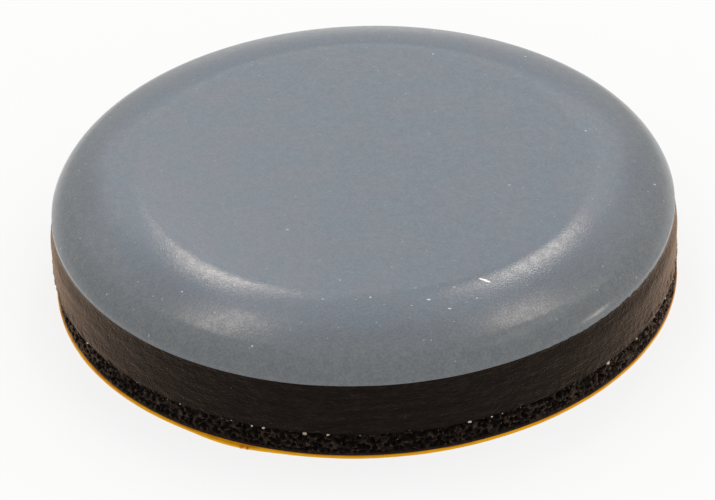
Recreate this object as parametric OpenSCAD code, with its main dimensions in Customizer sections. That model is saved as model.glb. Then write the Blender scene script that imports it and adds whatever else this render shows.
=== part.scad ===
// Self-adhesive furniture glide.
//
// A round low-friction cap, pressed from sheet into a shallow dish, is bonded over
// a rubber core. Under the core lies a disc of open-cell adhesive foam tape, and a
// release film keeps the adhesive clean until the glide is stuck on.
//
// The glide stands on its film, cap upwards. The origin is the centre of the film's
// underside, and +Z runs up the axis and out through the sole of the cap.

/* [Glide cap] */
// Diameter over the trimmed rim, shared with the core because one die cuts both
cap_d = 25; // [16:0.5:50]
// Height of the flat sole above the seam between cap and core
cap_rise = 1.6; // [1.4:0.05:2.1]
// Thickness of the pressed sheet
cap_wall = 1; // [0.6:0.05:1.2]
// How far in from the rim the flat sole ends
sole_in = 3.7; // [3.2:0.05:4.4]
// Radius of the bend that the flat sole ends in
ridge_r = 4.5; // [3:0.1:5.5]
// Radius of the crowned slope between the bend and the shoulder
slope_r = 11; // [7.5:0.5:40]
// Radius of the shoulder between the slope and the rim
shoulder_r = 1.4; // [1.2:0.05:1.8]
// Steepness of the shoulder where the die cuts it off, in degrees from the sole
trim_angle = 70; // [55:1:78]
// Height of the upright cut face between the shoulder's crease and the seam
land_h = 0.15; // [0.05:0.05:0.3]

/* [Rubber core] */
// Height of the core's upright side, from the tape to the seam
core_h = 2.3; // [1:0.1:6]

/* [Adhesive tape] */
// Thickness of the open-cell foam
foam_t = 0.95; // [0.5:0.05:2]
// How far the foam's cut edge stands proud of the core
foam_proud = 0.05; // [0:0.01:0.3]
// Thickness of the release film
liner_t = 0.15; // [0.05:0.01:0.3]
// How far the film stands proud of the foam
liner_proud = 0.03; // [0:0.01:0.3]

/* [Fits] */
// Glue space between the crown of the core and the hollow of the cap
glue_gap = 0.05; // [0.01:0.01:0.15]

/* [Hidden] */
$fn = 180;

CAP_COLOUR = [0.47, 0.52, 0.57];
CORE_COLOUR = [0.10, 0.09, 0.08];
FOAM_COLOUR = [0.04, 0.04, 0.03];
LINER_COLOUR = [0.80, 0.58, 0.16];

// Radii and heights of the stack, from the film up
cap_r = cap_d / 2;
foam_r = cap_r + foam_proud;
liner_r = foam_r + liner_proud;
foam_z = liner_t;
core_z = foam_z + foam_t;
seam_z = core_z + core_h;
sole_z = seam_z + cap_rise;

// The dome's section is the flat sole and three arcs, each running into the next
// without a corner: bend, slope and shoulder. Points are given as [radius, height].
// The outer two arcs are fixed by the sole and the rim, and the slope's centre lies
// where its circle touches both of them from outside.
ridge_c = [cap_r - sole_in, sole_z - ridge_r];
shoulder_c = [cap_r, seam_z + land_h] - shoulder_r * heading(trim_angle);
slope_c = apex(ridge_c, slope_r - ridge_r, shoulder_c, slope_r - shoulder_r);
head_angle = bearing(slope_c, ridge_c);
foot_angle = bearing(slope_c, shoulder_c);
// Smallest radius that an arc may keep when the section is moved in by a wall
min_fillet = 0.05;
// The slope's arc is drawn this much small, so that it crosses its neighbours
arc_bite = 0.001;

// Unit direction square to a face that falls away from the sole by an angle
function heading(angle) = [sin(angle), cos(angle)];

// Angle of that direction from one point to another
function bearing(from, to) = atan2(to.x - from.x, to.y - from.y);

// Lower corner of the triangle on base a-b whose sides from a and from b are given
function apex(a, side_a, b, side_b) =
    let (
        base = norm(b - a),
        along = (side_a ^ 2 - side_b ^ 2 + base ^ 2) / (2 * base),
        down = sqrt(side_a ^ 2 - along ^ 2),
        step = (b - a) / base
    )
    a + along * step + down * [step.y, -step.x];

// The slope's disc between the two bearings at which it meets its neighbours
module slope_sector(r) {
    reach = 2 * slope_r;
    intersection() {
        translate(slope_c) circle(r = r);
        polygon([
            slope_c,
            slope_c + reach * heading(head_angle),
            slope_c + reach * heading(foot_angle)
        ]);
    }
}

// Half section of the dome, with its faces moved in by inset and cut off at the seam
module dome_section(inset = 0) {
    sole = sole_z - inset;
    bend_end = ridge_c + (ridge_r - inset - arc_bite) * heading(head_angle);
    slope_end = shoulder_c + (shoulder_r - inset - arc_bite) * heading(foot_angle);
    crease = shoulder_c + (shoulder_r - inset - arc_bite) * heading(trim_angle);
    intersection() {
        translate([0, seam_z]) square([cap_r - inset, cap_rise - inset]);
        union() {
            polygon([[0, 0], [crease.x, 0], crease, slope_end, bend_end, [ridge_c.x, sole], [0, sole]]);
            translate(ridge_c) circle(r = ridge_r - inset);
            slope_sector(slope_r - inset - arc_bite);
            translate(shoulder_c) circle(r = max(shoulder_r - inset, min_fillet));
        }
    }
}

// A dish of even wall: the hollow is the dome's own section, one wall further in
module glide_cap() {
    color(CAP_COLOUR)
        rotate_extrude()
            difference() {
                dome_section();
                dome_section(cap_wall);
            }
}

// An upright disc whose crown fills the dish, one glue space clear of it. The flat
// ring outside the crown is the seat that the dish's rim closes on.
module rubber_core() {
    color(CORE_COLOUR)
        rotate_extrude()
            union() {
                translate([0, core_z]) square([cap_r, core_h]);
                dome_section(cap_wall + glue_gap);
            }
}

module foam_tape() {
    color(FOAM_COLOUR)
        translate([0, 0, foam_z]) cylinder(r = foam_r, h = foam_t);
}

module release_liner() {
    color(LINER_COLOUR) cylinder(r = liner_r, h = liner_t);
}

glide_cap();
rubber_core();
foam_tape();
release_liner();
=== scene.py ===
"""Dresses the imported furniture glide: cap, core, foam tape, release film and studio.

Lengths are written in millimetres and turned into metres by MM. The glide stands on
its film at z = 0, and every piece is turned about the Z axis.
"""

import logging
import math
import random
from abc import ABC, abstractmethod
from collections.abc import Iterator
from dataclasses import dataclass
from enum import Enum
from typing import ClassVar

import bpy
from mathutils import Euler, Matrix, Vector, noise

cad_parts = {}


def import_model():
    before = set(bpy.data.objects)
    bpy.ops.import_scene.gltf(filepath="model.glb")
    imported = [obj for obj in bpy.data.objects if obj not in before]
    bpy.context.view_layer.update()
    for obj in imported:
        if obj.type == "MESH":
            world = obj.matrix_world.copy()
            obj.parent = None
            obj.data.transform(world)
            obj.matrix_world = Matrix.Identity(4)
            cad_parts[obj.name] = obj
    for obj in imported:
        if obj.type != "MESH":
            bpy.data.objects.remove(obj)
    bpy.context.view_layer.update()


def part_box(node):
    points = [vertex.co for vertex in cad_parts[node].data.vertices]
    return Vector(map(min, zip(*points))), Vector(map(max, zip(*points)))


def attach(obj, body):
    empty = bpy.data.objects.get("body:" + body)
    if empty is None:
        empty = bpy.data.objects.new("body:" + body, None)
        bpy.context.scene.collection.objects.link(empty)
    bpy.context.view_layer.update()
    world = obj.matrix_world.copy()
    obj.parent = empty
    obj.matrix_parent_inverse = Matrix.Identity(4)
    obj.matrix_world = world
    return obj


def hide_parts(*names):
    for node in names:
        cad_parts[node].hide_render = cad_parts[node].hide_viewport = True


MM = 0.001
BODY = "root"
WHITE = (1.0, 1.0, 1.0)
WARM = (1.0, 0.87, 0.75)
# Factors on a place: one set leaves it as it is, and the other drops its height
WHOLE = (1.0, 1.0, 1.0)
FLAT = (1.0, 1.0, 0.0)
# How far a vertex may lie from the edge that it is looked for on
SLACK = 0.01 * MM

Colour = tuple[float, float, float]
Factors = tuple[float, float, float]
Ring = tuple[float, float]
Range = tuple[float, float]
Socket = bpy.types.NodeSocket
Object = bpy.types.Object
Material = bpy.types.Material

log = logging.getLogger("glide")


# ---------------------------------------------------------------- sizes from the CAD nodes


class Part(Enum):
    """The CAD nodes, each with the name of its material slot."""

    CAP = ("glide_cap", "cap_fluoropolymer")
    CORE = ("rubber_core", "core_rubber")
    FOAM = ("foam_tape", "tape_foam")
    LINER = ("release_liner", "liner_film")

    def __init__(self, node: str, slot: str) -> None:
        """Names the CAD node and the material slot."""
        self.node = node
        self.slot = slot


@dataclass(frozen=True)
class Layer:
    """Radius and heights of one layer of the glide, in metres.

    Args:
        radius: half the layer's width.
        low: height of its underside.
        high: height of its top.
    """

    radius: float
    low: float
    high: float

    @classmethod
    def of(cls, part: Part) -> "Layer":
        """Reads a layer's sizes from its CAD node.

        Args:
            part: the node that the layer fills.

        Returns:
            The layer.
        """
        low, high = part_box(part.node)
        return cls(radius=(high.x - low.x) / 2, low=low.z, high=high.z)


@dataclass(frozen=True)
class Dome:
    """The pressed section: a flat sole, then bend, slope and shoulder in one run.

    Args:
        rim: radius over the trimmed rim.
        seam: height at which the dome is cut off.
        sole: height of the flat sole.
        sole_in: how far in from the rim the flat sole ends.
        ridge_r: radius of the bend.
        slope_r: radius of the crowned slope.
        shoulder_r: radius of the shoulder.
        trim_angle: steepness of the shoulder where it is cut, in degrees.
        land: height of the upright cut face.
    """

    rim: float
    seam: float
    sole: float
    sole_in: float = 3.7 * MM
    ridge_r: float = 4.5 * MM
    slope_r: float = 11.0 * MM
    shoulder_r: float = 1.4 * MM
    trim_angle: float = 70.0
    land: float = 0.15 * MM

    def centres(self) -> tuple[Vector, Vector, Vector]:
        """Centres of the bend, the slope and the shoulder.

        Returns:
            Three points, each as radius and height.
        """
        trim = math.radians(self.trim_angle)
        ridge = Vector((self.rim - self.sole_in, self.sole - self.ridge_r))
        crease = Vector((self.rim, self.seam + self.land))
        shoulder = crease - self.shoulder_r * Vector((math.sin(trim), math.cos(trim)))
        from_ridge = self.slope_r - self.ridge_r
        from_shoulder = self.slope_r - self.shoulder_r
        base = shoulder - ridge
        along = (from_ridge**2 - from_shoulder**2 + base.length_squared) / (2 * base.length)
        down = math.sqrt(from_ridge**2 - along**2)
        step = base.normalized()
        slope = ridge + along * step + down * Vector((step.y, -step.x))
        return ridge, slope, shoulder

    def rings(self, steps: int, inset: float = 0.0) -> list[Ring]:
        """Rings down the dome, from the edge of the sole to the crease or the seam.

        Args:
            steps: spans along each arc.
            inset: how far the faces are moved in, for the hollow and the crown.

        Returns:
            Radius and height of each ring.
        """
        ridge, slope, shoulder = self.centres()
        head = math.atan2(ridge.x - slope.x, ridge.y - slope.y)
        foot = math.atan2(shoulder.x - slope.x, shoulder.y - slope.y)
        trim = math.radians(self.trim_angle)
        arcs = (
            (ridge, self.ridge_r - inset, 0.0, head),
            (slope, self.slope_r - inset, head, foot),
            (shoulder, self.shoulder_r - inset, foot, trim),
        )
        rings: list[Ring] = []
        for centre, radius, start, end in arcs:
            for step in range(1 if rings else 0, steps + 1):
                angle = start + (end - start) * step / steps
                height = centre.y + radius * math.cos(angle)
                if height < self.seam:
                    break
                rings.append((centre.x + radius * math.sin(angle), height))
        return rings


@dataclass(frozen=True)
class Drag:
    """The stretches on which the die dragged the soft layers outwards.

    Args:
        stretches: middle and half-length of each in degrees about Z, and how far
            a layer stands out in its middle.
    """

    stretches: tuple[tuple[float, float, float], ...] = ((-12.0, 64.0, 0.13 * MM),)

    def reach(self, angle: float) -> float:
        """How far a layer stands out at an angle.

        Args:
            angle: the angle about Z, in radians.

        Returns:
            The reach of the widest stretch there, or 0 between them.
        """
        turned = math.degrees(angle)
        return max(
            out * ramp(abs((turned - at + 180) % 360 - 180), half, 0.0)
            for at, half, out in self.stretches
        )


@dataclass(frozen=True)
class Grain:
    """Noise that runs round an upright edge.

    Args:
        waves: how finely it varies round the edge, on a circle of radius 1.
        rise: height over which it varies. Endless where it is the same all the way up.
    """

    waves: float
    rise: float = math.inf

    def at(self, outward: Vector, height: float = 0.0) -> float:
        """The noise, on both sides of 0, in a direction from the axis and at a height."""
        return noise.noise(outward * self.waves + Vector((0, 0, height / self.rise)))


# ---------------------------------------------------------------- modelling by hand


def deselect() -> None:
    """Lets go of everything, so that an operator touches only what comes next."""
    bpy.ops.object.select_all(action="DESELECT")


def select_ring(piece: Object, height: float, radius: float, slack: float) -> None:
    """Selects, in edit mode, the vertices of the ring at a height and radius.

    Args:
        piece: the object that is being edited.
        height: height of the ring.
        radius: radius of the ring.
        slack: how far a vertex may lie from it.
    """
    bpy.ops.mesh.select_all(action="DESELECT")
    bpy.ops.object.mode_set(mode="OBJECT")
    for vertex in piece.data.vertices:
        reach = math.hypot(vertex.co.x, vertex.co.y)
        vertex.select = abs(vertex.co.z - height) < slack and abs(reach - radius) < slack
    bpy.ops.object.mode_set(mode="EDIT")


def close_pole() -> None:
    """Draws the selected ring together in its middle."""
    bpy.ops.mesh.extrude_region_move(TRANSFORM_OT_translate={"value": (0, 0, 0)})
    bpy.ops.mesh.merge(type="CENTER")


def turn(name: str, rings: list[Ring], count: int) -> Object:
    """Turns a closed piece: a small ring at one pole is grown ring by ring to the other.

    Args:
        name: name of the piece.
        rings: radius and height of each ring, from one pole round to the other.
        count: vertices in each ring.

    Returns:
        The piece, at the origin, with its faces pointing out.
    """
    deselect()
    radius, height = rings[0]
    bpy.ops.mesh.primitive_circle_add(vertices=count, radius=radius, location=(0, 0, height))
    piece = bpy.context.active_object
    piece.name = piece.data.name = name
    bpy.ops.object.transform_apply(location=True, rotation=True, scale=True)
    bpy.ops.object.mode_set(mode="EDIT")
    bpy.ops.mesh.select_all(action="SELECT")
    for next_radius, next_height in rings[1:]:
        rise = next_height - height
        bpy.ops.mesh.extrude_region_move(TRANSFORM_OT_translate={"value": (0, 0, rise)})
        spread = next_radius / radius
        if spread != 1:
            bpy.ops.transform.resize(value=(spread, spread, 1), center_override=(0, 0, next_height))
        radius, height = next_radius, next_height
    close_pole()
    select_ring(piece, rings[0][1], rings[0][0], slack=rings[0][0] / 4)
    close_pole()
    bpy.ops.mesh.select_all(action="SELECT")
    bpy.ops.mesh.normals_make_consistent(inside=False)
    bpy.ops.object.mode_set(mode="OBJECT")
    return piece


def smooth(piece: Object, angle: float) -> None:
    """Shades a piece smooth, apart from edges sharper than an angle.

    Args:
        piece: the object.
        angle: the sharpest smooth edge, in degrees.
    """
    deselect()
    piece.select_set(True)
    bpy.context.view_layer.objects.active = piece
    bpy.ops.object.shade_smooth_by_angle(angle=math.radians(angle))


def edge_vertices(piece: Object, beyond: float) -> Iterator[tuple[bpy.types.MeshVertex, float, Vector]]:
    """The vertices of a piece that lie far from the Z axis.

    Args:
        piece: the piece.
        beyond: the smallest radius that counts.

    Yields:
        Each vertex, its angle about Z in radians and the unit direction out to it.
    """
    for vertex in piece.data.vertices:
        if math.hypot(vertex.co.x, vertex.co.y) >= beyond:
            angle = math.atan2(vertex.co.y, vertex.co.x)
            yield vertex, angle, Vector((math.cos(angle), math.sin(angle), 0.0))


def span(start: float, end: float, steps: int) -> list[float]:
    """Even values from start to end, both included.

    Args:
        start: first value.
        end: last value.
        steps: number of spans between them.

    Returns:
        One more value than there are spans.
    """
    return [start + (end - start) * step / steps for step in range(steps + 1)]


def ramp(value: float, low: float, high: float) -> float:
    """Eases from 0 at low to 1 at high, which may also be the smaller of the two."""
    share = min(max((value - low) / (high - low), 0.0), 1.0)
    return share * share * (3 - 2 * share)


def hand_over(piece: Object, part: Part, material: Material) -> None:
    """Dresses a finished piece and puts it in the place of its CAD node.

    Args:
        piece: the finished object.
        part: the CAD node that it stands for, with its slot.
        material: the finish.
    """
    piece.data.materials.clear()
    piece.data.materials.append(material)
    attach(piece, BODY)
    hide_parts(part.node)
    log.info("%s: %d faces, stands for %s", piece.name, len(piece.data.polygons), part.node)


# ---------------------------------------------------------------- shader building


class Graph:
    """A node tree with short ways to add and join nodes."""

    def __init__(self, tree: bpy.types.NodeTree) -> None:
        """Starts on an existing tree."""
        self.tree = tree

    def feed(self, socket: Socket, source: object) -> None:
        """Links a socket to another node, or sets its own value.

        Args:
            socket: the input to feed.
            source: an output socket, or a plain value.
        """
        if isinstance(source, Socket):
            self.tree.links.new(source, socket)
        else:
            socket.default_value = source

    def add(self, kind: str, *terms: object, **settings: object) -> bpy.types.Node:
        """Adds a node.

        Args:
            kind: the node's type, without the ShaderNode in front.
            terms: sockets or values for its first inputs, in order.
            settings: attributes of the node and their values.

        Returns:
            The new node.
        """
        node = self.tree.nodes.new("ShaderNode" + kind)
        for name, value in settings.items():
            setattr(node, name, value)
        for socket, term in zip(node.inputs, terms):
            self.feed(socket, term)
        return node

    def fill(self, node: bpy.types.Node, **inputs: object) -> bpy.types.Node:
        """Feeds inputs of a node by their names.

        Args:
            node: the node.
            inputs: sockets or values, with _ for each blank of a name.

        Returns:
            The same node.
        """
        for name, value in inputs.items():
            self.feed(node.inputs[name.replace("_", " ")], value)
        return node

    def math(self, operation: str, *terms: object) -> Socket:
        """Result of a Math node on some sockets or numbers."""
        return self.add("Math", *terms, operation=operation).outputs[0]

    def vector(self, operation: str, *terms: object) -> Socket:
        """Result of a Vector Math node on some sockets or vectors."""
        node = self.add("VectorMath", *terms, operation=operation)
        return node.outputs["Value" if operation == "LENGTH" else "Vector"]

    def fit(self, value: object, low: float, high: float, to: Range = (0.0, 1.0)) -> Socket:
        """Maps a value's range smoothly onto another one.

        Args:
            value: the socket to map.
            low: value that becomes the first of to.
            high: value that becomes the second of to.
            to: the two ends of the result.

        Returns:
            The mapped value.
        """
        return self.add("MapRange", value, low, high, *to, interpolation_type="SMOOTHSTEP").outputs[0]

    def blend(self, share: object, first: object, second: object) -> Socket:
        """Mixes two colours.

        Args:
            share: how much of the second colour shows.
            first: a colour or a socket.
            second: a colour or a socket.

        Returns:
            The mixed colour.
        """
        node = self.add("Mix", data_type="RGBA")
        colours = [(*c, 1.0) if isinstance(c, tuple) else c for c in (first, second)]
        for index, term in zip((0, 6, 7), (share, *colours)):
            self.feed(node.inputs[index], term)
        return node.outputs[2]


def new_group(name: str, inputs: list[str], outputs: list[str]) -> tuple[Graph, dict, dict]:
    """Starts a shader node group. Its sockets hold numbers, apart from one called Vector.

    Args:
        name: name of the group.
        inputs: names of what it takes.
        outputs: names of what it gives.

    Returns:
        The graph, the sockets that bring the inputs and the sockets that take the outputs.
    """
    tree = bpy.data.node_groups.new(name, "ShaderNodeTree")
    for in_out, labels in (("INPUT", inputs), ("OUTPUT", outputs)):
        for label in labels:
            kind = "NodeSocketVector" if label == "Vector" else "NodeSocketFloat"
            tree.interface.new_socket(label, in_out=in_out, socket_type=kind)
    start = tree.nodes.new("NodeGroupInput")
    end = tree.nodes.new("NodeGroupOutput")
    return Graph(tree), dict(start.outputs.items()), dict(end.inputs.items())


class Effects:
    """The shader groups that more than one finish uses, each built once."""

    def __init__(self) -> None:
        """Builds the groups."""
        self.round = self._round()
        self.mottle = self._mottle()
        self.specks = self._specks()
        self.streaks = self._streaks()

    @staticmethod
    def _round() -> bpy.types.NodeTree:
        """Radius, turn and height about the Z axis.

        Returns:
            The group. Turn is in radians.
        """
        graph, given, result = new_group("round_coordinates", ["Vector"], ["Radius", "Turn", "Height"])
        x, y, z = graph.add("SeparateXYZ", given["Vector"]).outputs
        squares = graph.math("ADD", graph.math("MULTIPLY", x, x), graph.math("MULTIPLY", y, y))
        graph.feed(result["Radius"], graph.math("SQRT", squares))
        graph.feed(result["Turn"], graph.math("ARCTAN2", y, x))
        graph.feed(result["Height"], z)
        return graph.tree

    @staticmethod
    def _mottle() -> bpy.types.NodeTree:
        """Soft clouds with finer grain in them.

        Returns:
            The group. Cloud and Grain both run from 0 to 1.
        """
        takes = ["Vector", "Cloud Size", "Grain Size"]
        graph, given, result = new_group("mottle", takes, ["Cloud", "Grain"])
        for label, detail in (("Cloud", 3.0), ("Grain", 1.0)):
            scale = graph.math("DIVIDE", 1.0, given[label + " Size"])
            cells = graph.fill(graph.add("TexNoise"), Vector=given["Vector"], Scale=scale, Detail=detail)
            graph.feed(result[label], graph.fit(cells.outputs["Fac"], 0.3, 0.7))
        return graph.tree

    @staticmethod
    def _specks() -> bpy.types.NodeTree:
        """Sparse small grains, one at most in each cell, of uneven size.

        Returns:
            The group. Mask is up to 1 inside a grain, and differs from grain to grain.
        """
        graph, given, result = new_group("specks", ["Vector", "Spacing", "Size", "Share"], ["Mask"])
        scale = graph.math("DIVIDE", 1.0, given["Spacing"])
        cells = graph.fill(graph.add("TexVoronoi"), Vector=given["Vector"], Scale=scale)
        chance = graph.add("SeparateColor", cells.outputs["Color"]).outputs
        reach = graph.math("MULTIPLY", cells.outputs["Distance"], given["Spacing"])
        size = graph.math("MULTIPLY", given["Size"], graph.fit(chance[1], 0.0, 1.0, (0.4, 1.0)))
        inside = graph.fit(graph.math("DIVIDE", reach, size), 1.0, 0.6)
        kept = graph.math("LESS_THAN", chance[0], given["Share"])
        strength = graph.math("MULTIPLY", kept, graph.fit(chance[2], 0.0, 1.0, (0.2, 1.0)))
        graph.feed(result["Mask"], graph.math("MULTIPLY", inside, strength))
        return graph.tree

    @staticmethod
    def _streaks() -> bpy.types.NodeTree:
        """Long marks that a cutting die leaves round an upright edge.

        Returns:
            The group. Streak runs from 0 to 1.
        """
        graph, given, result = new_group("die_streaks", ["Turn", "Height", "Length", "Width"], ["Streak"])
        along = graph.math("DIVIDE", given["Turn"], given["Length"])
        across = graph.math("DIVIDE", given["Height"], given["Width"])
        where = graph.add("CombineXYZ", along, across).outputs[0]
        marks = graph.fill(graph.add("TexNoise"), Vector=where, Scale=1.0, Detail=2.0)
        graph.feed(result["Streak"], graph.fit(marks.outputs["Fac"], 0.35, 0.7))
        return graph.tree


@dataclass(frozen=True)
class Gloss:
    """How a finish answers to light, set on the shader's own sockets.

    Args:
        specular: specular level, where 0.5 is that of plain plastic.
        sheen: weight of the soft glow at a low angle.
        sheen_roughness: spread of that glow.
        sheen_tint: colour of that glow.
    """

    specular: float = 0.5
    sheen: float = 0.0
    sheen_roughness: float = 0.5
    sheen_tint: Colour = WHITE


class Finish:
    """A material on one Principled shader, with object coordinates at hand."""

    def __init__(self, name: str, effects: Effects, gloss: Gloss) -> None:
        """Makes the material and its shader.

        Args:
            name: name of the material.
            effects: the shared shader groups.
            gloss: the constants of the shader.
        """
        self.material = bpy.data.materials.new(name)
        self.material.use_nodes = True
        self.graph = Graph(self.material.node_tree)
        self.effects = effects
        self.shader = self.material.node_tree.nodes["Principled BSDF"]
        self.shader.inputs["Specular IOR Level"].default_value = gloss.specular
        self.shader.inputs["Sheen Weight"].default_value = gloss.sheen
        self.shader.inputs["Sheen Roughness"].default_value = gloss.sheen_roughness
        self.shader.inputs["Sheen Tint"].default_value = (*gloss.sheen_tint, 1.0)
        self.where = self.graph.add("TexCoord").outputs["Object"]
        self.around = self._place(effects.round, Vector=self.where).outputs

    def _place(self, tree: bpy.types.NodeTree, **inputs: object) -> bpy.types.Node:
        """Places a shader group, with its inputs fed by name."""
        return self.graph.fill(self.graph.add("Group", node_tree=tree), **inputs)

    def mottle(self, cloud: float, grain: float) -> tuple[Socket, Socket]:
        """Soft clouds with finer grain in them.

        Args:
            cloud: size of a cloud.
            grain: size of a grain.

        Returns:
            The clouds and the grain, both from 0 to 1.
        """
        node = self._place(self.effects.mottle, Vector=self.where, Cloud_Size=cloud, Grain_Size=grain)
        return node.outputs["Cloud"], node.outputs["Grain"]

    def specks(self, spacing: float, size: float, share: float, shape: Factors = WHOLE) -> Socket:
        """Sparse small grains.

        Args:
            spacing: distance between the places that may hold one.
            size: radius of the largest.
            share: share of the places that hold one.
            shape: factors on the coordinates, so that below 1 the grains grow longer.

        Returns:
            A mask that is up to 1 inside a grain.
        """
        where = self.graph.vector("MULTIPLY", self.where, shape)
        given = {"Vector": where, "Spacing": spacing, "Size": size, "Share": share}
        return self._place(self.effects.specks, **given).outputs[0]

    def streaks(self, length: float, width: float) -> Socket:
        """Long marks round the upright edge.

        Args:
            length: length of a mark, in radians about Z.
            width: its width.

        Returns:
            The marks, from 0 to 1.
        """
        given = {name: self.around[name] for name in ("Turn", "Height")}
        return self._place(self.effects.streaks, Length=length, Width=width, **given).outputs[0]

    def paint(self, colour: Socket, uneven: Socket, roughness: Range) -> None:
        """Sets the colour and the roughness.

        Args:
            colour: the colour.
            uneven: a value from 0 to 1 over the surface.
            roughness: the roughness at 0 and at 1.
        """
        rough = self.graph.fit(uneven, 0.0, 1.0, roughness)
        self.graph.fill(self.shader, Base_Color=colour, Roughness=rough)

    def bump(self, *layers: tuple[Socket, float], start: Socket | None = None) -> None:
        """Raises the surface by several heights, one on top of the other.

        Args:
            layers: pairs of a height that runs from 0 to 1 and its depth in metres.
            start: the normal below the first height, or None for the surface's own.
        """
        normal = start
        for height, depth in layers:
            node = self.graph.fill(self.graph.add("Bump"), Height=height, Distance=depth)
            if normal is not None:
                self.graph.feed(node.inputs["Normal"], normal)
            normal = node.outputs[0]
        self.graph.feed(self.shader.inputs["Normal"], normal)


# ---------------------------------------------------------------- finishes


@dataclass(frozen=True)
class Look(ABC):
    """A finish of the glide: its name and gloss, and colours that are painted on."""

    name: ClassVar[str]
    gloss: ClassVar[Gloss] = Gloss()

    @abstractmethod
    def _paint(self, finish: Finish) -> None:
        """Feeds the colour, the roughness and the bump of the shader."""

    def build(self, effects: Effects) -> Material:
        """Builds the material.

        Args:
            effects: the shared shader groups.

        Returns:
            The material.
        """
        finish = Finish(self.name, effects, self.gloss)
        self._paint(finish)
        return finish.material


@dataclass(frozen=True)
class Oval:
    """An oval patch on the cap, in millimetres and degrees.

    Args:
        x: the middle along X.
        y: the middle along Y.
        turn: the turn about Z.
        length: half of the length.
        width: half of the width.
    """

    x: float
    y: float
    turn: float
    length: float
    width: float

    def on(self, finish: Finish) -> tuple[Socket, Socket]:
        """Lays the patch on a finish, seen from above.

        Args:
            finish: the finish that the patch goes into.

        Returns:
            The place inside the patch, and the distance from its middle, 1 on its border.
        """
        middle = (self.x * MM, self.y * MM, 0)
        turned = (0, 0, math.radians(self.turn))
        size = (self.length * MM, self.width * MM, 1)
        local = finish.graph.add("Mapping", finish.where, middle, turned, size, vector_type="TEXTURE")
        place = finish.graph.vector("MULTIPLY", local.outputs[0], FLAT)
        return place, finish.graph.vector("LENGTH", place)


@dataclass(frozen=True)
class CapFinish(Look):
    """Satin blue-grey fluoropolymer with a faint cloud, dust and handling marks.

    Args:
        cool: colour of one half of the clouds.
        warm: colour of the other half.
        grain: colour of the fine grain.
        rim: colour that the cap turns to on its shoulder.
        dust: colour of the specks.
        scuff_highlight: colour of the scuff, painted near-white as a painted highlight on the real mark.
        roughness: roughness between the fine clouds and in them.
        grit: weight of the grain against the fine clouds.
        mottled: how much of the grain's colour the two let through.
        turning: radii between which the colour turns to that of the rim.
        catching: radii between which the specks grow stronger.
        caught: strength of the specks at those radii.
        faint: strength of the lint, where 1 is that of the dust.
        scuff: the short scrape across the bend.
        fluff: the patch of the slope on which longer grains lie together.
    """

    name: ClassVar[str] = "cap_fluoropolymer"
    cool: Colour = (0.129, 0.169, 0.209)
    warm: Colour = (0.149, 0.165, 0.204)
    grain: Colour = (0.085, 0.108, 0.138)
    rim: Colour = (0.170, 0.177, 0.178)
    dust: Colour = (0.68, 0.76, 0.80)
    scuff_highlight: Colour = (0.98, 0.98, 0.97)
    roughness: Range = (0.17, 0.22)
    grit: float = 1.8
    mottled: float = 0.24
    turning: Range = (9.6 * MM, 12.2 * MM)
    catching: Range = (6.5 * MM, 8.9 * MM)
    caught: Range = (0.32, 0.55)
    faint: float = 0.5
    scuff: Oval = Oval(4.46, -8.31, turn=-27, length=0.29, width=0.07)
    fluff: Oval = Oval(0.6, -9.9, turn=8, length=4.6, width=1.9)

    def _scrape(self, finish: Finish) -> Socket:
        """A mask of the scuff, broken into strokes."""
        place, reach = self.scuff.on(finish)
        strokes = finish.graph.fill(finish.graph.add("TexNoise"), Vector=place, Scale=3.2)
        broken = finish.graph.fit(strokes.outputs["Fac"], 0.30, 0.42)
        return finish.graph.math("MULTIPLY", finish.graph.fit(reach, 1.0, 0.7), broken)

    def _specks(self, finish: Finish) -> Socket:
        """Dust and lint all over, and longer grains gathered on the slope.

        Args:
            finish: the finish that the specks go into.

        Returns:
            A mask that is up to 1 inside a speck.
        """
        graph = finish.graph
        dust = finish.specks(spacing=0.64 * MM, size=0.07 * MM, share=0.5, shape=FLAT)
        lint = finish.specks(spacing=0.28 * MM, size=0.045 * MM, share=0.6, shape=FLAT)
        long = finish.specks(spacing=0.36 * MM, size=0.055 * MM, share=0.8, shape=(0.55, 1.0, 0.0))
        marks = graph.math("MAXIMUM", dust, graph.math("MULTIPLY", lint, self.faint))
        caught = graph.fit(finish.around["Radius"], *self.catching, self.caught)
        gathered = graph.fit(self.fluff.on(finish)[1], 1.0, 0.45, (0.0, 0.8))
        spread = graph.math("MULTIPLY", marks, caught)
        return graph.math("MAXIMUM", spread, graph.math("MULTIPLY", long, gathered))

    def _paint(self, finish: Finish) -> None:
        """Clouds the blue-grey, then adds the specks and the scuff.

        Args:
            finish: the finish of the cap.
        """
        graph = finish.graph
        broad, grain = finish.mottle(cloud=1.6 * MM, grain=0.09 * MM)
        fine, _ = finish.mottle(cloud=0.35 * MM, grain=0.05 * MM)
        specks, scuff = self._specks(finish), self._scrape(finish)
        outer = graph.fit(finish.around["Radius"], *self.turning)
        cloud = graph.blend(outer, graph.blend(broad, self.cool, self.warm), self.rim)
        uneven = graph.math("MULTIPLY_ADD", grain, self.grit, fine)
        mottled = graph.blend(graph.math("MULTIPLY", uneven, self.mottled), cloud, self.grain)
        dusty = graph.blend(specks, mottled, self.dust)
        # painted highlight: the real scuff is painted near-white, standing in for the light that it
        # catches
        finish.paint(graph.blend(scuff, dusty, self.scuff_highlight), fine, self.roughness)
        pale = graph.math("MAXIMUM", specks, scuff)
        finish.bump((broad, 0.0025 * MM), (grain, 0.0012 * MM), (pale, 0.02 * MM))


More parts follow.
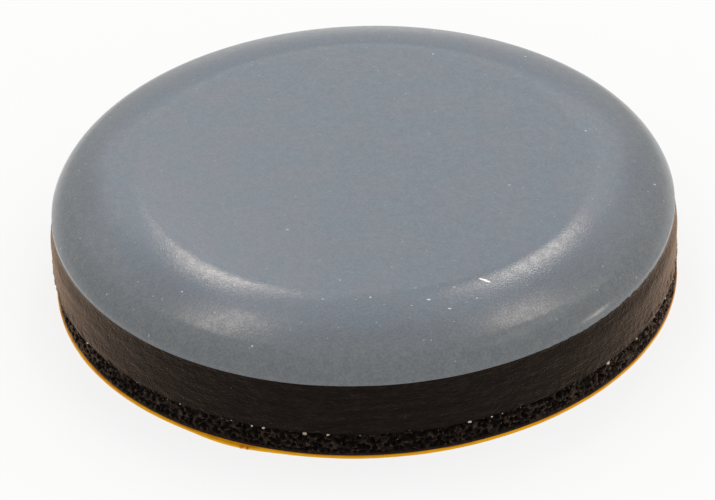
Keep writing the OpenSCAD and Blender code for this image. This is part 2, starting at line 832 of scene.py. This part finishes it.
@dataclass(frozen=True)
class CoreFinish(Look):
    """Matt black rubber, smeared and streaked on its die-cut side.

    Args:
        dark: colour of the plain rubber.
        rubbed: colour where the die rubbed it.
        dust: colour of the dust.
        smeared: how far a smear turns the rubber to that colour.
        streaked: how far a streak does.
        porous: how far the pores do.
        faint: how strongly the dust covers.
    """

    name: ClassVar[str] = "core_rubber"
    gloss: ClassVar[Gloss] = Gloss(
        specular=0.04, sheen=0.80, sheen_roughness=0.34, sheen_tint=(1.0, 0.70, 0.50)
    )
    dark: Colour = (0.0016, 0.0011, 0.0008)
    rubbed: Colour = (0.0110, 0.0079, 0.0060)
    dust: Colour = (0.15, 0.13, 0.11)
    smeared: float = 0.75
    streaked: float = 0.6
    porous: float = 0.38
    faint: float = 0.5

    def _paint(self, finish: Finish) -> None:
        """Lays the smears, the streaks, the pores and the dust on the black.

        Args:
            finish: the finish of the core.
        """
        graph = finish.graph
        smear = finish.streaks(length=0.075, width=0.42 * MM)
        long = finish.streaks(length=0.16, width=0.17 * MM)
        short = finish.streaks(length=0.022, width=0.08 * MM)
        cloud, pores = finish.mottle(cloud=0.22 * MM, grain=0.06 * MM)
        dust = finish.specks(spacing=0.3 * MM, size=0.035 * MM, share=0.16)
        streak = graph.math("MULTIPLY", long, short)
        patchy = graph.math("MULTIPLY", smear, cloud)
        worn = graph.math("MULTIPLY", streak, self.streaked)
        worn = graph.math("MULTIPLY_ADD", patchy, self.smeared, worn)
        worn = graph.math("MULTIPLY_ADD", pores, self.porous, worn)
        rubber = graph.blend(worn, self.dark, self.rubbed)
        dusty = graph.blend(graph.math("MULTIPLY", dust, self.faint), rubber, self.dust)
        finish.paint(dusty, pores, (0.5, 0.7))
        finish.bump((smear, 0.012 * MM), (streak, 0.008 * MM), (cloud, 0.006 * MM), (pores, 0.007 * MM))


@dataclass(frozen=True)
class FoamFinish(Look):
    """Black open-cell foam: pale worn struts, cells painted darker inwards as painted shade, and a glue
    skin below.

    Args:
        edge: radius at which the struts end.
        skin_top: height of the top of the glue skin.
        cell: colour deep in a cell, a painted shade of the recess.
        strut: colour of the struts.
        worn: colour of the worn tips of the struts.
        skin: colour of the glue skin.
        depth: how far in the colour has turned from strut to the painted shade of the cell.
        softness: how strongly the shading follows the whole edge and not each strut.
    """

    name: ClassVar[str] = "tape_foam"
    gloss: ClassVar[Gloss] = Gloss(
        specular=0.06, sheen=1.0, sheen_roughness=0.34, sheen_tint=(1.0, 0.68, 0.48)
    )
    edge: float
    skin_top: float
    cell: Colour = (0.0020, 0.0011, 0.0007)
    strut: Colour = (0.0090, 0.0056, 0.0036)
    worn: Colour = (0.050, 0.032, 0.020)
    skin: Colour = (0.020, 0.011, 0.011)
    depth: float = 0.09 * MM
    softness: float = 0.8

    def _softened(self, finish: Finish) -> Socket:
        """The surface normal, drawn outward so that thin struts don't glint."""
        outward = finish.graph.vector("NORMALIZE", finish.graph.vector("MULTIPLY", finish.where, FLAT))
        own = finish.graph.add("NewGeometry").outputs["Normal"]
        drawn = finish.graph.vector("MULTIPLY_ADD", outward, (self.softness,) * 3, own)
        return finish.graph.vector("NORMALIZE", drawn)

    def _paint(self, finish: Finish) -> None:
        """Paints shade into the cells, darker deeper in, wears the tips in patches and covers the foot
        with skin.

        Args:
            finish: the finish of the foam.
        """
        graph = finish.graph
        cloud, pores = finish.mottle(cloud=0.14 * MM, grain=0.05 * MM)
        patches, _ = finish.mottle(cloud=0.42 * MM, grain=0.1 * MM)
        # painted shade: the colour darkens from strut to cell with the depth into the cut edge
        clear_of_pit_shade = graph.fit(finish.around["Radius"], self.edge - self.depth, self.edge)
        patchy = graph.fit(graph.math("MULTIPLY", patches, cloud), 0.15, 0.6)
        tips = graph.math("MULTIPLY", clear_of_pit_shade, patchy)
        struts = graph.blend(tips, graph.blend(clear_of_pit_shade, self.cell, self.strut), self.worn)
        in_skin = graph.fit(finish.around["Height"], self.skin_top + 0.05 * MM, self.skin_top - 0.02 * MM)
        skinned = graph.blend(graph.math("MULTIPLY", in_skin, clear_of_pit_shade), struts, self.skin)
        finish.paint(skinned, pores, (0.45, 0.7))
        finish.bump((pores, 0.004 * MM), start=self._softened(finish))


@dataclass(frozen=True)
class LinerFinish(Look):
    """Amber release film, deeper in colour towards its top.

    Args:
        top: height of the film's upper face.
        film: colour of the film.
        top_amber: the deeper colour towards the top of the film.
    """

    name: ClassVar[str] = "liner_film"
    gloss: ClassVar[Gloss] = Gloss(specular=0.08)
    top: float
    film: Colour = (0.98, 0.48, 0.002)
    top_amber: Colour = (0.55, 0.20, 0.003)

    def _paint(self, finish: Finish) -> None:
        """Deepens the amber towards the top, more in some places than in others.

        Args:
            finish: the finish of the film.
        """
        graph = finish.graph
        cloud, grain = finish.mottle(cloud=1.2 * MM, grain=0.12 * MM)
        # darker towards the top of the film's edge, more in some places than in others
        toward_top = graph.fit(finish.around["Height"], self.top * 0.45, self.top)
        uneven = graph.math("MULTIPLY", toward_top, graph.fit(cloud, 0.0, 1.0, (0.45, 1.0)))
        finish.paint(graph.blend(uneven, self.film, self.top_amber), grain, (0.28, 0.42))
        finish.bump((cloud, 0.004 * MM), (grain, 0.001 * MM))


@dataclass(frozen=True)
class GritFinish(Look):
    """Pale mineral dust that sits in the step between core and foam.

    Args:
        pale: colour of one half of the grains.
        brown: colour of the other half.
    """

    name: ClassVar[str] = "seam_dust"
    pale: Colour = (0.72, 0.62, 0.50)
    brown: Colour = (0.42, 0.33, 0.22)

    def _paint(self, finish: Finish) -> None:
        """Blends the two colours from grain to grain.

        Args:
            finish: the finish of the grains.
        """
        cloud, grain = finish.mottle(cloud=0.8 * MM, grain=0.02 * MM)
        finish.paint(finish.graph.blend(cloud, self.pale, self.brown), grain, (0.3, 0.5))
        finish.bump((grain, 0.002 * MM))


# ---------------------------------------------------------------- pieces


@dataclass
class TurnedPiece(ABC):
    """A layer of the glide that is turned from rings, then shaped along its edge.

    Each kind has a name, the part that it stands for, crease, the sharpest edge in
    degrees that is shaded smooth, the count of vertices in a ring, and the radius of the
    pole, the ring that is closed over the axis.

    Args:
        layer: the space of its CAD node.
    """

    name: ClassVar[str]
    part: ClassVar[Part]
    crease: ClassVar[float]
    count: ClassVar[int]
    pole: ClassVar[float]
    layer: Layer

    @abstractmethod
    def _rings(self) -> list[Ring]:
        """Radius and height of each ring, from the small ring at one pole to the other."""

    @abstractmethod
    def _shape_edge(self, piece: Object) -> None:
        """Makes the edge of the turned piece as uneven as it was cut."""

    def build(self, material: Material) -> Object:
        """Builds and dresses the piece.

        Args:
            material: its finish.

        Returns:
            The finished piece.
        """
        piece = turn(self.name, self._rings(), self.count)
        self._shape_edge(piece)
        smooth(piece, angle=self.crease)
        hand_over(piece, self.part, material)
        return piece


@dataclass
class GlideCap(TurnedPiece):
    """The pressed cap, a dish of even wall with a die-cut rim.

    Args:
        wall: thickness of the pressed sheet.
        rag: how far the cut edge strays up and down along most of the rim.
        tooth: depth of the burrs on the ragged stretch.
        tooth_pitch: length of one burr.
        ragged: start and end of the ragged stretch, in degrees about Z.
        eased: how soon it sets in at its start and stops at its end, in degrees.
        lanes: where the burrs and the slower straying are read in the noise.
        burr_out: how far the burrs stand out over the core.
    """

    name: ClassVar[str] = "pressed_cap"
    part: ClassVar[Part] = Part.CAP
    crease: ClassVar[float] = 17
    count: ClassVar[int] = 720
    pole: ClassVar[float] = 0.3 * MM
    wall: float = 1.0 * MM
    rag: float = 0.012 * MM
    tooth: float = 0.075 * MM
    tooth_pitch: float = 0.27 * MM
    ragged: Range = (-66.0, -14.0)
    eased: Range = (20.0, 10.0)
    lanes: Range = (3.1, 7.7)
    burr_out: float = 0.012 * MM

    def dome(self) -> Dome:
        """The section that the cap and the crown of the core share."""
        return Dome(rim=self.layer.radius, seam=self.layer.low, sole=self.layer.high)

    def _rings(self) -> list[Ring]:
        """Rings from the middle of the hollow, round the rim, to the middle of the sole.

        Returns:
            Radius and height of each ring.
        """
        dome = self.dome()
        hollow = dome.rings(inset=self.wall, steps=6)
        outside = dome.rings(steps=16)
        land = [(self.layer.radius, z) for z in span(self.layer.low, outside[-1][1], 3)]
        sole = [(r, self.layer.high) for r in span(outside[0][0], self.pole, 8)[1:]]
        first = (self.pole, self.layer.high - self.wall)
        return [first, *hollow, *land, *reversed(outside[:-1]), *sole]

    def _shape_edge(self, piece: Object) -> None:
        """Makes the trimmed edge as uneven as the die left it.

        Args:
            piece: the cap.
        """
        low, radius = self.layer.low, self.layer.radius
        (start, end), (set_in, stop) = self.ragged, self.eased
        for vertex, angle, _ in edge_vertices(piece, beyond=radius - SLACK):
            if vertex.co.z > low + SLACK:
                continue
            degrees = math.degrees(angle)
            teeth = angle * radius / self.tooth_pitch
            ragged = ramp(degrees, start, start + set_in) * ramp(degrees, end, end - stop)
            burr = noise.noise(Vector((teeth, self.lanes[0], 0.0)))
            stray = noise.noise(Vector((teeth / 4, self.lanes[1], 0.0)))
            drop = ragged * self.tooth * (0.5 + burr) + self.rag * (0.6 + stray)
            vertex.co.z = low - max(drop, 0.0)
            vertex.co.xy *= 1 + self.burr_out / radius


@dataclass
class RubberCore(TurnedPiece):
    """The rubber disc, with its crown inside the cap and a die-cut side.

    Args:
        dome: the section of the cap over it.
        cover: wall of the cap and glue space together.
        rows: spans up the side.
        waver: how far the cut side strays in and out.
        held: height under the seam over which the cap holds the side true.
        nick: depth of the nicks along the lower edge.
        nick_height: height over which the nicks run out.
        nick_from: value of the chips' noise from which it nicks.
        settled: height under the seam over which the drag sets in.
        frayed: heights over the lower edge between which the dragged side frays.
        drag: the stretches that stand out.
        smears: coarse noise of the side.
        pits: fine noise of the side.
        chips: noise that places the nicks.
        burrs: noise of the fraying.
    """

    name: ClassVar[str] = "cut_core"
    part: ClassVar[Part] = Part.CORE
    crease: ClassVar[float] = 35
    count: ClassVar[int] = 900
    pole: ClassVar[float] = 0.3 * MM
    dome: Dome
    cover: float = 1.05 * MM
    rows: int = 26
    waver: float = 0.014 * MM
    held: float = 0.1 * MM
    nick: float = 0.05 * MM
    nick_height: float = 0.16 * MM
    nick_from: float = 0.25
    settled: float = 0.9 * MM
    frayed: Range = (0.9 * MM, 0.2 * MM)
    drag: Drag = Drag(((-12.0, 64.0, 0.14 * MM), (-172.0, 34.0, 0.14 * MM)))
    smears: Grain = Grain(waves=14, rise=0.35 * MM)
    pits: Grain = Grain(waves=60, rise=0.12 * MM)
    chips: Grain = Grain(waves=45)
    burrs: Grain = Grain(waves=70, rise=0.2 * MM)

    def _rings(self) -> list[Ring]:
        """Rings from the middle of the underside, up the side, to the top of the crown.

        Returns:
            Radius and height of each ring.
        """
        radius, low, seam = self.layer.radius, self.layer.low, self.dome.seam
        under = [(r, low) for r in span(self.pole, radius, 3)]
        side = [(radius, z) for z in span(low, seam, self.rows)[1:]]
        crown = list(reversed(self.dome.rings(inset=self.cover, steps=5)))
        return [*under, *side, (crown[0][0], seam), *crown, (self.pole, self.layer.high)]

    def _shape_edge(self, piece: Object) -> None:
        """Waves the cut side, nicks its lower edge and drags it outwards.

        Args:
            piece: the core.
        """
        radius, low, seam = self.layer.radius, self.layer.low, self.dome.seam
        for vertex, angle, outward in edge_vertices(piece, beyond=radius - SLACK):
            height = vertex.co.z
            uneven = 0.5 + 0.4 * self.smears.at(outward, height) + 0.3 * self.pits.at(outward, height)
            inward = self.waver * uneven * ramp(height, seam, seam - self.held)
            chips = 2.5 * max(self.chips.at(outward) - self.nick_from, 0.0)
            inward += self.nick * chips * ramp(height, low + self.nick_height, low)
            fray = ramp(height, low + self.frayed[0], low + self.frayed[1])
            fray *= 0.6 * max(self.burrs.at(outward, height), 0.0)
            out = self.drag.reach(angle) * ramp(height, seam, seam - self.settled) * (1 + fray)
            vertex.co.xy *= 1 + (out - max(inward, 0.0)) / radius


@dataclass
class FoamTape(TurnedPiece):
    """The foam tape, with its round cells cut open along the edge.

    Args:
        rows: spans up the cut edge.
        cell: spacing of the cells.
        cell_fill: radius of a cell, as a share of the spacing.
        crumb: size of the roughness on the struts.
        crumb_depth: depth of that roughness.
        cell_uneven: how much wider or narrower the cells are from place to place.
        torn: height under the core in which the cells are torn wider open.
        torn_wider: how much wider they are there.
        skin: height of the closed glue skin along the bottom.
        deepest: how far a cell may reach in.
        drag: the stretches that stand out.
    """

    name: ClassVar[str] = "open_cell_foam"
    part: ClassVar[Part] = Part.FOAM
    crease: ClassVar[float] = 50
    count: ClassVar[int] = 2400
    pole: ClassVar[float] = 0.4 * MM
    rows: int = 30
    cell: float = 0.21 * MM
    cell_fill: float = 0.48
    cell_uneven: float = 0.25
    crumb: float = 0.12 * MM
    crumb_depth: float = 0.07 * MM
    torn: float = 0.22 * MM
    torn_wider: float = 0.35
    skin: float = 0.07 * MM
    deepest: float = 0.40 * MM
    drag: Drag = Drag()

    def _rings(self) -> list[Ring]:
        """Rings from the middle of the underside, up the cut edge, to the middle of the top.

        Returns:
            Radius and height of each ring.
        """
        radius, low, high = self.layer.radius, self.layer.low, self.layer.high
        edge = [(radius, z) for z in span(low, high, self.rows)]
        return [(self.pole, low), *edge, (self.pole, high)]

    def _cell_depth(self, point: Vector, inward: Vector, spread: float) -> float:
        """How far the cells behind a point of the cut edge reach in.

        Args:
            point: the point.
            inward: unit direction into the foam.
            spread: widens the cells, where 1 leaves them as they are.

        Returns:
            The depth of the deepest cell that is open there, or 0 on a strut.
        """
        _, centres = noise.voronoi(point / self.cell, distance_metric="DISTANCE")
        fill = self.cell_fill * spread
        depth = 0.0
        for centre in centres[:3]:
            offset = point / self.cell - centre
            along = -offset.dot(inward)
            reach = along * along - offset.length_squared + fill * fill
            if reach > 0:
                depth = max(depth, along + math.sqrt(reach))
        return depth * self.cell

    def _shape_edge(self, piece: Object) -> None:
        """Opens the cells along the cut edge, above the glue skin.

        Args:
            piece: the foam.
        """
        low, high = self.layer.low, self.layer.high
        for vertex, angle, outward in edge_vertices(piece, beyond=self.layer.radius / 2):
            place = vertex.co.copy()
            opened = ramp(place.z, low + self.skin * 0.5, low + self.skin * 2.2)
            torn = self.torn_wider * ramp(place.z, high - self.torn, high)
            spread = 1 + torn + self.cell_uneven * noise.noise(place / (3 * self.cell))
            cells = self._cell_depth(place, -outward, spread)
            crumbs = 0.5 + noise.noise(place / self.crumb) + 0.5 * noise.noise(place / (0.4 * self.crumb))
            depth = opened * min(cells + max(self.crumb_depth * crumbs, 0.0), self.deepest)
            vertex.co.xy += outward.xy * (self.drag.reach(angle) - depth)


@dataclass
class ReleaseLiner(TurnedPiece):
    """The release film under the tape, cut a hair wider than the foam.

    Args:
        fold: radius of its softened edges.
        waver: how far its edge strays inwards.
        lip: how far it stands out on the stretch where it was cut wide.
        lip_at: middle of that stretch, in degrees about Z.
        lip_half: half the length of that stretch, in degrees.
        drag: the stretches on which the film was cut wide along with the foam.
        sway: coarse noise of the edge.
        fray: fine noise of the edge.
    """

    name: ClassVar[str] = "release_film"
    part: ClassVar[Part] = Part.LINER
    crease: ClassVar[float] = 50
    count: ClassVar[int] = 720
    pole: ClassVar[float] = 0.4 * MM
    fold: float = 0.02 * MM
    waver: float = 0.02 * MM
    lip: float = 0.12 * MM
    lip_at: float = -115.0
    lip_half: float = 11.0
    drag: Drag = Drag(((-12.0, 64.0, 0.13 * MM), (-148.0, 42.0, 0.045 * MM)))
    sway: Grain = Grain(waves=9)
    fray: Grain = Grain(waves=40)

    def _rings(self) -> list[Ring]:
        """Rings from the middle of the underside, over the edge, to the middle of the top.

        Returns:
            Radius and height of each ring.
        """
        radius, low, high = self.layer.radius, self.layer.low, self.layer.high
        edge = [(radius - self.fold, low), (radius, low + self.fold)]
        edge += [(radius, high - self.fold), (radius - self.fold, high)]
        return [(self.pole, low), (radius * 0.9, low), *edge, (radius * 0.9, high), (self.pole, high)]

    def _shape_edge(self, piece: Object) -> None:
        """Makes the edge of the film as uneven as it was cut.

        Args:
            piece: the film.
        """
        for vertex, angle, outward in edge_vertices(piece, beyond=self.layer.radius * 0.95):
            stray = 0.5 + 0.5 * self.sway.at(outward) + 0.25 * self.fray.at(outward)
            off = abs(math.degrees(angle) - self.lip_at)
            wide = self.lip * ramp(off, self.lip_half, 0.0) + self.drag.reach(angle)
            vertex.co.xy *= 1 + (wide - self.waver * max(stray, 0.0)) / self.layer.radius


@dataclass
class Debris:
    """Small bits caught on the edge of the layers, joined into one piece.

    Args:
        name: name of the piece.
        part: the layer that the bits go with. It is not used.
        radius: radius that they lie at.
        height: height that they lie at.
        places: where the larger bits lie, in degrees about Z.
        more: number of smaller bits, placed at random.
        size: thickness of a larger bit.
        stretch: length of a bit round the glide, in terms of its thickness.
        seed: start of the random draws.
        scatter: how far the bits stray up and down.
        heap: middle and spread, in degrees about Z, of a place where a third as many
            bits gather.
        crease: the sharpest edge that is shaded smooth, in degrees.
    """

    name: str
    part: Part
    radius: float
    height: float
    places: tuple[float, ...]
    more: int
    size: float
    stretch: float
    seed: int
    scatter: float = 0.03 * MM
    heap: Range = (-8.0, 14.0)
    crease: float = 80

    def _bit(self, draw: random.Random, place: float, scale: float) -> Object:
        """Adds one bit, turned along the edge.

        Args:
            draw: source of the random draws.
            place: where it lies, in degrees about Z.
            scale: its size, where 1 is a larger bit.

        Returns:
            The bit.
        """
        angle = math.radians(place)
        reach = self.radius + Drag().reach(angle) + draw.uniform(-0.3, 0.1) * self.size * scale
        lift = self.height + draw.uniform(-1, 1) * self.scatter
        half = self.size * scale / 2
        bpy.ops.mesh.primitive_ico_sphere_add(
            subdivisions=1,
            radius=half,
            location=(reach * math.cos(angle), reach * math.sin(angle), lift),
            rotation=(draw.uniform(-0.5, 0.5), draw.uniform(-0.3, 0.3), angle),
            scale=(1.0, self.stretch * draw.uniform(0.5, 1.2), draw.uniform(0.6, 1.0)),
        )
        bpy.ops.object.transform_apply(location=False, rotation=False, scale=True)
        bit = bpy.context.active_object
        bpy.ops.object.mode_set(mode="EDIT")
        bpy.ops.mesh.select_all(action="SELECT")
        bpy.ops.transform.vertex_random(offset=0.35 * half, uniform=0.3, seed=draw.randrange(1000))
        bpy.ops.object.mode_set(mode="OBJECT")
        return bit

    def build(self, material: Material) -> Object:
        """Builds and dresses the bits.

        Args:
            material: their finish.

        Returns:
            The finished piece.
        """
        draw = random.Random(self.seed)
        spots = [(place, 1.0) for place in self.places]
        spots += [(draw.uniform(-180, 180), draw.uniform(0.25, 0.6)) for _ in range(self.more)]
        spots += [(draw.gauss(*self.heap), draw.uniform(0.3, 0.7)) for _ in range(self.more // 3)]
        deselect()
        bits = [self._bit(draw, place, scale) for place, scale in spots]
        for bit in bits:
            bit.select_set(True)
        bpy.ops.object.join()
        piece = bpy.context.active_object
        piece.name = piece.data.name = self.name
        bpy.ops.object.transform_apply(location=True, rotation=True, scale=True)
        smooth(piece, angle=self.crease)
        piece.data.materials.append(material)
        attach(piece, BODY)
        log.info("%s: %d bits", piece.name, len(spots))
        return piece


# ---------------------------------------------------------------- studio


@dataclass(frozen=True)
class Lamp:
    """A softbox that looks at the glide.

    Args:
        name: name of the lamp.
        turn: its bearing from the glide, in degrees from +X towards +Y.
        rise: its height over the horizon, in degrees.
        width: width of its face, as the glide sees it, in degrees.
        height: height of its face, in the same way.
        glow: brightness of its face, where 1 is that of the white surround.
        tint: colour of its light.
        distance: distance from the glide.
    """

    name: str
    turn: float
    rise: float
    width: float
    height: float
    glow: float
    tint: Colour = WHITE
    distance: float = 0.4

    def place(self) -> None:
        """Puts the lamp in the scene, facing the origin."""
        data = bpy.data.lights.new(self.name, "AREA")
        data.shape = "RECTANGLE"
        data.size = 2 * self.distance * math.tan(math.radians(self.width / 2))
        data.size_y = 2 * self.distance * math.tan(math.radians(self.height / 2))
        data.energy = math.pi * data.size * data.size_y * self.glow
        data.color = self.tint
        lamp = bpy.data.objects.new(self.name, data)
        lamp.visible_camera = False
        bpy.context.scene.collection.objects.link(lamp)
        bearing, rise = math.radians(self.turn), math.radians(self.rise)
        level = math.cos(rise)
        toward = Vector((level * math.cos(bearing), level * math.sin(bearing), math.sin(rise)))
        lamp.location = toward * self.distance
        lamp.rotation_euler = toward.to_track_quat("Z", "Y").to_euler()


@dataclass(frozen=True)
class Camera:
    """The camera, given by what it looks at and from where.

    Args:
        target: the point in the middle of the picture.
        distance: distance to that point.
        rise: how far it looks down, in degrees.
        roll: how far it is turned about its own line of sight, in degrees.
        lens: focal length in millimetres.
        sensor: width of the sensor in millimetres.
    """

    target: Vector = Vector((-0.29 * MM, 0.35 * MM, 0.50 * MM))
    distance: float = 120 * MM
    rise: float = 35.03
    roll: float = -2.2
    lens: float = 147.6
    sensor: float = 36.0

    def place(self) -> None:
        """Puts the camera in the scene and makes it the active one."""
        data = bpy.data.cameras.new("view")
        data.lens = self.lens
        data.sensor_width = self.sensor
        data.clip_start = 5 * MM
        camera = bpy.data.objects.new("view", data)
        bpy.context.scene.collection.objects.link(camera)
        rise = math.radians(self.rise)
        back = Vector((0, -math.cos(rise), math.sin(rise)))
        camera.location = self.target + back * self.distance
        pitch = Euler((math.pi / 2 - rise, 0, 0)).to_matrix()
        roll = Euler((0, 0, math.radians(self.roll))).to_matrix()
        camera.rotation_euler = (pitch @ roll).to_euler()
        bpy.context.scene.camera = camera


@dataclass
class Studio:
    """A pale floor, a white surround and softboxes round the glide.

    Args:
        floor_width: width of the floor.
        floor_gap: gap that keeps the floor clear of the underside of the film.
        ambient: strength of the surround.
        shadow: how much of the floor's own shading the camera sees.
        floor_colour: colour of the floor's paper.
        lamps: the softboxes. The first four draw the light along the bend, the
            next two lie on the slope, the four weak ones after them lift the slope
            and shoulder, the low one runs along the crease, and the panel lights the
            flat sole.
    """

    floor_width: float = 3.0
    floor_gap: float = 0.01 * MM
    ambient: float = 0.8
    shadow: float = 0.22
    floor_colour: Colour = (0.86, 0.86, 0.86)
    lamps: tuple[Lamp, ...] = (
        Lamp("behind_left", turn=99, rise=42.5, width=5, height=5, glow=12, tint=WARM),
        Lamp("beside_left", turn=105, rise=47, width=5, height=5, glow=12, tint=WARM),
        Lamp("behind_right", turn=74.5, rise=49.5, width=5, height=8, glow=6, tint=WARM),
        Lamp("beside_right", turn=70.5, rise=45.5, width=5, height=7, glow=8.5, tint=WARM),
        Lamp("above_left", turn=127, rise=62, width=13, height=4, glow=8, tint=WARM),
        Lamp("above_right", turn=42, rise=62, width=14, height=6, glow=6, tint=WARM),
        Lamp("above_behind", turn=90, rise=56, width=28, height=22, glow=0.75),
        Lamp("high_right", turn=2, rise=54, width=46, height=16, glow=0.55),
        Lamp("slope_left", turn=118, rise=40, width=18, height=16, glow=0.5),
        Lamp("slope_right", turn=62, rise=40, width=18, height=16, glow=0.4),
        Lamp("low_right", turn=-9.3, rise=3.5, width=9, height=5, glow=8, tint=WARM),
        Lamp("panel_behind", turn=90, rise=31, width=42, height=21, glow=0.84),
    )

    def _world(self) -> None:
        """A white surround, the same in every direction."""
        world = bpy.data.worlds.new("surround")
        bpy.context.scene.world = world
        world.use_nodes = True
        background = world.node_tree.nodes["Background"]
        background.inputs["Color"].default_value = (*WHITE, 1.0)
        background.inputs["Strength"].default_value = self.ambient

    def _paper(self) -> Material:
        """Paper that shows white from above, with a faint shadow, and clear from below.

        Rays as short as the gap pass it too, so the underside of the film is lit.

        Returns:
            The material.
        """
        material = bpy.data.materials.new("floor_paper")
        material.use_nodes = True
        graph = Graph(material.node_tree)
        nodes = material.node_tree.nodes
        nodes.remove(nodes["Principled BSDF"])
        path = graph.add("LightPath").outputs
        seen = graph.math("MAXIMUM", path["Is Camera Ray"], path["Is Glossy Ray"])
        seen = graph.math("MAXIMUM", seen, path["Is Transmission Ray"])
        lit = graph.math("MULTIPLY", seen, 1.0 - self.shadow)
        shaded = graph.add("BsdfDiffuse", (*self.floor_colour, 1.0)).outputs[0]
        upper = graph.add("MixShader", lit, shaded, graph.add("Emission").outputs[0]).outputs[0]
        touching = graph.math("LESS_THAN", path["Ray Length"], 3 * self.floor_gap)
        below = graph.add("NewGeometry").outputs["Backfacing"]
        passed = graph.math("MAXIMUM", below, touching)
        sided = graph.add("MixShader", passed, upper, graph.add("BsdfTransparent").outputs[0])
        graph.feed(nodes["Material Output"].inputs["Surface"], sided.outputs[0])
        return material

    def build(self) -> None:
        """Sets up the floor, the surround, the lamps and the camera."""
        self._world()
        deselect()
        bpy.ops.mesh.primitive_plane_add(size=self.floor_width, location=(0, 0, -self.floor_gap))
        floor = bpy.context.active_object
        floor.name = floor.data.name = "floor"
        floor.data.materials.append(self._paper())
        for lamp in self.lamps:
            lamp.place()
        Camera().place()
        bpy.context.scene.view_settings.view_transform = "Standard"
        log.info("studio: floor, surround, %d lamps and camera", len(self.lamps))


# ---------------------------------------------------------------- the whole glide


def debris(core: Layer, foam: Layer, liner: Layer) -> tuple[Debris, Debris, Debris]:
    """The loose bits on the edge: dust, shavings and scraps.

    Args:
        core: the rubber core.
        foam: the foam tape.
        liner: the release film.

    Returns:
        The three pieces, not yet built.
    """
    dust = Debris(
        name="seam_dust",
        part=Part.FOAM,
        radius=core.radius + 0.01 * MM,
        height=foam.high - 0.01 * MM,
        places=(-111.1, -108.9, -101.6, -97.6, -73.0, -43.5, -151.0),
        more=30,
        size=0.13 * MM,
        stretch=1.3,
        seed=7,
    )
    shavings = Debris(
        name="rubber_shavings",
        part=Part.CORE,
        radius=core.radius,
        height=core.low + 0.02 * MM,
        places=(-143.0, -137.0, -131.0, -116.5, -84.0, -66.0, -52.0, -33.0),
        more=70,
        size=0.11 * MM,
        stretch=3.2,
        seed=11,
    )
    scraps = Debris(
        name="film_scraps",
        part=Part.LINER,
        radius=liner.radius + 0.14 * MM,
        height=liner.high - 0.05 * MM,
        places=(-112.9, -111.8),
        more=0,
        size=0.13 * MM,
        stretch=1.6,
        seed=5,
    )
    return dust, shavings, scraps


def main() -> None:
    """Builds every piece in order, from the film up, and then the studio."""
    logging.basicConfig(level=logging.INFO, format="%(name)s: %(message)s")
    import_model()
    effects = Effects()

    liner, foam, core = Layer.of(Part.LINER), Layer.of(Part.FOAM), Layer.of(Part.CORE)
    tape = FoamTape(foam)
    cap = GlideCap(Layer.of(Part.CAP))
    amber = LinerFinish(top=liner.high).build(effects)
    sponge = FoamFinish(edge=foam.radius, skin_top=foam.low + tape.skin).build(effects)
    rubber = CoreFinish().build(effects)
    satin = CapFinish().build(effects)
    grit = GritFinish().build(effects)

    ReleaseLiner(liner).build(amber)
    tape.build(sponge)
    RubberCore(core, cap.dome()).build(rubber)
    cap.build(satin)
    for bits, finish in zip(debris(core, foam, liner), (grit, rubber, amber)):
        bits.build(finish)
    Studio().build()


if __name__ == "__main__":
    main()
